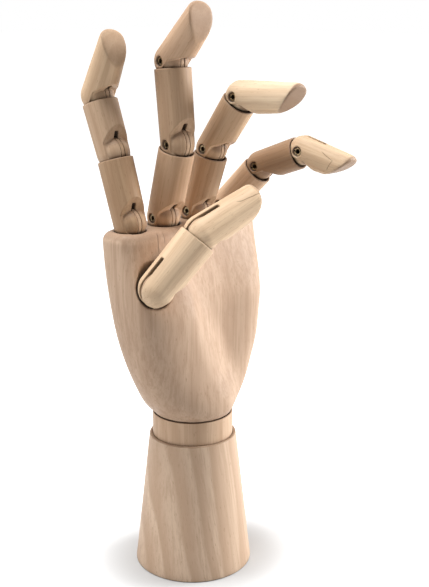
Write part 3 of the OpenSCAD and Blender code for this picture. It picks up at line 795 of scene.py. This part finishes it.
palmChecks = (
    {"start": (-27.6, -3.0, 187.4), "end": (-29.2, -6.0, 178.6), "facing": (-0.1, -0.95, 0.3), "width": 0.45},
    {"start": (-23.9, -3.5, 187.2), "end": (-24.3, -5.4, 182.4), "facing": (-0.06, -0.95, 0.3), "width": 0.28})
palmWood = woodFinish("palmBeech", upright, pith=(-70.0, 24.0), tint=(0.91, 0.875, 0.87), bandWidth=11.0,
                      bandAmount=0.35, streakAmount=0.6, blotchAmount=0.22, checks=palmChecks)
finishPiece("palmBlock", mesh, "palm", ["palm"], palmWood)
print("palm block:", len(mesh.polygons), "faces")

# the turned finger and thumb segments
turnedSegment = {"voxel": 0.3, "sanding": 2, "rimFlare": 0.35, "rimDrop": 3.5, "tipTaper": 0.86, "tipRound": 3.0,
                 "trueWithin": 0.16, "trueFacing": 0.9, "trueStop": 0.5, "tipSanding": 45, "tipStep": 0.5,
                 "tipFrom": 19.0, "tipBlend": 3.0, "pithOut": 15.0, "pithTurn": (47.0, 103.0), "grainLift": 40.0,
                 "bandWidth": 5.5, "bandAmount": 0.45}
segmentChecks = {
    "thumb_distal": (
        {"start": (-5.3, -36.2, 204.9), "end": (-3.5, -37.7, 204.9), "facing": (-0.5, -0.6, 0.6), "width": 0.26},
        {"start": (-3.9, -37.5, 204.9), "end": (5.3, -41.4, 208.3), "facing": (-0.5, -0.65, 0.56), "width": 0.28}),
    "little_distal": (
        {"start": (38.4, -53.0, 225.8), "end": (38.3, -59.3, 222.1), "facing": (-0.85, -0.26, 0.45), "width": 0.28},
        {"start": (38.2, -59.4, 221.9), "end": (37.9, -56.5, 217.5), "facing": (-0.92, -0.2, 0.0), "width": 0.25}),
}
# each segment's wood tone, partly painted light and shade: segments that catch the light are tinted lighter and
# segments in shade darker
segmentTonesAndShade = {
    "index": ((0.71, 0.63, 0.535), (0.92, 0.88, 0.83), (1.1, 1.07, 0.98)),
    "middle": ((0.98, 0.9, 0.81), (0.76, 0.7, 0.63), (0.98, 0.91, 0.85)),
    "ring": ((0.84, 0.76, 0.66), (1.02, 0.97, 0.88), (1.24, 1.32, 1.3)),
    "little": ((1.05, 1.0, 0.93), (0.6, 0.53, 0.46), (1.06, 1.08, 1.02)),
    "thumb": ((1.22, 1.24, 1.18), (1.3, 1.32, 1.25)),
}
padEndGrainAndShade = {"index": 0.55, "middle": 0.6, "ring": 0.95, "little": 0.85, "thumb": 0.55}  # how dark the end grain is; the ring pad's higher value is also painted shade, as that pad lies in shade


# moves points through a matrix
def through(matrix, co):
    return (np.c_[co, np.ones(len(co))] @ np.array(matrix).T)[:, :3]


# pulls the turned skin of a sanded segment back to a true circle
def trueRound(mesh, place, ball, length, tip, s):
    co = points(mesh)
    out = place.inverted()
    local = through(out, co) * toMm
    normal = vertexNormals(mesh) @ np.array(out.to_3x3()).T
    z = local[:, 2]
    around = np.hypot(local[:, 0], local[:, 1])
    high = ball * s["tipTaper"] if tip else ball + s["rimFlare"]
    top = length - (s["tipRound"] if tip else s["rimDrop"])
    wanted = ball + (high - ball) * np.clip(z / top, 0, 1)
    radial = np.c_[local[:, :2] / np.maximum(around, tiny)[:, None], np.zeros(len(z))]
    facing = (normal * radial).sum(1) > s["trueFacing"]
    side = (z > 0) & (z < top - s["trueStop"]) & (np.abs(around - wanted) < s["trueWithin"]) & facing
    local[side, :2] *= (wanted / np.maximum(around, tiny))[side, None]
    far = np.linalg.norm(local, axis=1)
    facing = (normal * local).sum(1) / np.maximum(far, tiny) > s["trueFacing"]
    ballSkin = (z <= 0) & (np.abs(far - ball) < s["trueWithin"]) & facing
    local[ballSkin] *= (ball / far)[ballSkin, None]
    setPoints(mesh, through(place, local * mm))


# sands the ends of the tips further, so that the pad runs into the round without an edge
def softenTip(mesh, place, length, s):
    co = points(mesh)
    z = through(place.inverted(), co)[:, 2] * toMm
    weight = s["tipStep"] * eased((z - length + s["tipFrom"]) / s["tipBlend"])[:, None]
    ends = np.empty(len(mesh.edges) * 2, dtype=np.int32)
    mesh.edges.foreach_get("vertices", ends)
    first, second = ends[0::2], ends[1::2]
    count = np.bincount(ends, minlength=len(co))[:, None]
    for i in range(s["tipSanding"]):
        sums = [np.bincount(first, co[second, k], len(co)) + np.bincount(second, co[first, k], len(co))
                for k in range(3)]
        co += (np.stack(sums, axis=1) / count - co) * weight
    setPoints(mesh, co)


def cadCopy(node, name):
    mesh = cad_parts[node].data.copy()
    mesh.materials.clear()
    outward(mesh)
    return linked(name, mesh)


def makeSegments():
    s = turnedSegment
    for d, (name, digit) in enumerate(digits.items()):
        count = len(digit["lengths"])
        for n in range(count):
            node = name + "_" + segmentNames[count][n]
            place = segmentFrame(digit, n)
            mesh = sanded(cadCopy(node, node + "Wood"), s["voxel"], s["sanding"], node + "Wood")
            trueRound(mesh, place, digit["ball"], digit["lengths"][n], n == count - 1, s)
            if n == count - 1:
                softenTip(mesh, place, digit["lengths"][n], s)
            turn = s["pithTurn"][0] * d + s["pithTurn"][1] * n
            pith = (s["pithOut"] * math.cos(turn), s["pithOut"] * math.sin(turn))
            lift = s["grainLift"] * (d + 1)
            wood = woodFinish(node + "Beech", place @ shifted(0, 0, -lift), pith=pith, bandWidth=s["bandWidth"],
                              bandAmount=s["bandAmount"], tint=segmentTonesAndShade[name][n], endGrain=padEndGrainAndShade[name],
                              checks=segmentChecks.get(node, ()),
                              mouth={"height": lift, "side": digit["pinSide"]})
            finishPiece(node + "Wood", mesh, node, [node], wood)
    print("segments done")


makeSegments()

# the flat tongues in the saw slots
tongue = {"voxel": 0.22, "sanding": 2, "tint": (0.96, 0.92, 0.86), "bandAmount": 0.25}


def makeTongues():
    for name, digit in digits.items():
        count = len(digit["lengths"])
        for n in range(count):
            node = name + "_tongue_" + str(n + 1)
            body = "palm" if n == 0 else name + "_" + segmentNames[count][n - 1]
            mesh = sanded(cadCopy(node, node + "Wood"), tongue["voxel"], tongue["sanding"], node + "Wood")
            wood = woodFinish(node + "Beech", cupFrame(digit, n), tint=tongue["tint"],
                              bandAmount=tongue["bandAmount"])
            finishPiece(node + "Wood", mesh, body, [node], wood)
    print("tongues done")


makeTongues()

# the slit roll pins
rollPin = {"outside": 4.0, "bore": 2.3, "slit": 0.6, "sunk": 1.2, "clear": 0.04, "edge": 0.18,
           "arcSteps": 40, "edgeSteps": 3, "sharp": 40}


def makePins():
    tree = rollPinTree()
    middle = (rollPin["outside"] + rollPin["bore"]) / 4
    wall = (rollPin["outside"] - rollPin["bore"]) / 2
    for name, digit in digits.items():
        count = len(digit["lengths"])
        length = 2 * digit["ball"] - 2 * rollPin["sunk"] - rollPin["clear"]
        for n in range(count):
            node = name + "_pin_" + str(n + 1)
            mesh = grown(node + "Steel", tree, {
                "Middle Radius": middle * mm, "Wall": wall * mm, "Length": length * mm,
                "Slit Angle": rollPin["slit"] / middle, "Edge": rollPin["edge"] * mm, "Finish": pinSteel})
            mesh.transform(segmentFrame(digit, n) @ turned("Y", 90.0 * digit["pinSide"]) @ turned("Z", 180.0))
            outward(mesh)
            body = name + "_" + segmentNames[count][n]
            finishPiece(node + "Steel", mesh, body, [node], pinSteel, rollPin["sharp"])
    print("roll pins done, span", np.ptp(points(mesh), axis=0))


makePins()

# spring, bolt, washer, nut and cross pin at the wrist
wristSpring = {"turns": 6, "coil": 7.0, "wire": 0.8, "low": 16.66, "high": 39.98, "leg": 2.4,
               "turnSteps": 48, "wireSides": 16, "sharp": 40}
wristPlug = {"grainFrom": (40, 0, 108.72), "tint": (0.97, 0.92, 0.85)}


def refinish(node, material):
    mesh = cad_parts[node].data
    mesh.materials.clear()
    mesh.materials.append(material)


w = wristSpring
mesh = grown("wristSpring", coilTree(), {
    "Turns": float(w["turns"]), "Coil Radius": w["coil"] * mm, "Wire Radius": w["wire"] * mm, "Low": w["low"] * mm,
    "Leg": w["leg"] * mm, "Rise": (w["high"] - w["low"] - 2 * w["leg"]) * mm, "Finish": boltSteel})
outward(mesh)
finishPiece("wristSpringWire", mesh, "wrist", ["wrist_spring"], boltSteel, w["sharp"])
for node in ("wrist_eye_bolt", "wrist_washer", "wrist_nut", "wrist_pin"):
    refinish(node, boltSteel)
plugGrain = shifted(*wristPlug["grainFrom"]) @ turned("Y", 90)
refinish("wrist_plug", woodFinish("plugBeech", plugGrain, tint=wristPlug["tint"]))
print("wrist hardware done")

# floor, light and camera
studio = {"floor": 0.55, "floorSize": 6.0, "world": 0.22, "glow": (0.12, 1.0), "glowRange": (0.03, 0.085),
          "aimHeight": 0.15,
          "key": {"side": 0.85, "away": 0.23, "up": 0.4, "size": 0.6, "power": 12.0},
          "fill": {"side": -0.85, "away": -0.15, "up": 0.5, "size": 0.5, "power": 3.6},
          "top": {"side": -0.12, "away": -0.08, "up": 1.2, "size": 0.5, "power": 12.0}}
view = {"place": (-390.1, -383.4, 304.0), "forward": (0.701, 0.660, -0.270), "focal": 1090.0,
        "imageHeight": 587.0, "sensor": 36.0, "nearest": 0.01}


# 1 where the camera, a reflection or glass sees the surface
def seenBy(tree):
    path = nodeIn(tree, "ShaderNodeLightPath")
    seen = mathNode(tree, "MAXIMUM", path.outputs["Is Camera Ray"], path.outputs["Is Glossy Ray"])
    return mathNode(tree, "MAXIMUM", seen, path.outputs["Is Transmission Ray"])


def makeFloor():
    bm = bmesh.new()
    bmesh.ops.create_grid(bm, x_segments=1, y_segments=1, size=studio["floorSize"])
    floor = fromBmesh("paleFloor", bm)
    material = bpy.data.materials.new("paleFloor")
    material.use_nodes = True
    tree = material.node_tree
    tree.nodes.clear()
    diffuse = nodeIn(tree, "ShaderNodeBsdfDiffuse")
    diffuse.inputs["Color"].default_value = (studio["floor"],) * 3 + (1.0,)
    glow = nodeIn(tree, "ShaderNodeEmission")
    coords = nodeIn(tree, "ShaderNodeTexCoord")
    # painted light: the camera sees the floor glow weakly next to the base and fully further out, so the floor is
    # painted darker around the base
    level = remap(tree, lengthOf(tree, coords.outputs["Object"]), *studio["glowRange"], studio["glow"])
    tree.links.new(mathNode(tree, "MULTIPLY", seenBy(tree), level), glow.inputs["Strength"])
    add = nodeIn(tree, "ShaderNodeAddShader")
    tree.links.new(diffuse.outputs[0], add.inputs[0])
    tree.links.new(glow.outputs[0], add.inputs[1])
    out = nodeIn(tree, "ShaderNodeOutputMaterial")
    tree.links.new(add.outputs[0], out.inputs[0])
    floor.data.materials.append(material)


def makeWorld():
    world = bpy.data.worlds.new("whiteStudio")
    scene.world = world
    world.use_nodes = True
    tree = world.node_tree
    tree.nodes.clear()
    seen = seenBy(tree)
    back = nodeIn(tree, "ShaderNodeBackground")
    back.inputs["Color"].default_value = (1.0, 1.0, 1.0, 1.0)
    lit = mathNode(tree, "MULTIPLY", mathNode(tree, "SUBTRACT", 1.0, seen), studio["world"])
    tree.links.new(mathNode(tree, "ADD", lit, seen), back.inputs["Strength"])
    out = nodeIn(tree, "ShaderNodeOutputWorld")
    tree.links.new(back.outputs[0], out.inputs[0])


def makeLights():
    forward = Vector(view["forward"]).normalized()
    flat = Vector((forward.x, forward.y, 0)).normalized()
    right = Vector((flat.y, -flat.x, 0))
    for name in ("key", "fill", "top"):
        lamp = studio[name]
        data = bpy.data.lights.new(name + "Light", "AREA")
        data.shape = "DISK"
        data.size = lamp["size"]
        data.energy = lamp["power"]
        obj = linked(name + "Light", data)
        place = right * lamp["side"] + flat * lamp["away"] + Vector((0, 0, lamp["up"]))
        aim = Vector((0, 0, studio["aimHeight"])) - place
        obj.location = place
        obj.rotation_euler = aim.to_track_quat("-Z", "Y").to_euler()


def makeCamera():
    forward = Vector(view["forward"]).normalized()
    right = forward.cross(Vector((0, 0, 1))).normalized()
    up = right.cross(forward)
    data = bpy.data.cameras.new("photoCamera")
    data.sensor_fit = "VERTICAL"
    data.sensor_height = view["sensor"]
    data.lens = view["focal"] * view["sensor"] / view["imageHeight"]
    data.clip_start = view["nearest"]
    obj = linked("photoCamera", data)
    turn = Matrix((right, up, -forward)).transposed().to_4x4()
    obj.matrix_world = shifted(*view["place"]) @ turn
    scene.camera = obj


makeFloor()
makeWorld()
makeLights()
makeCamera()
scene.view_settings.view_transform = "Standard"
print("studio done")
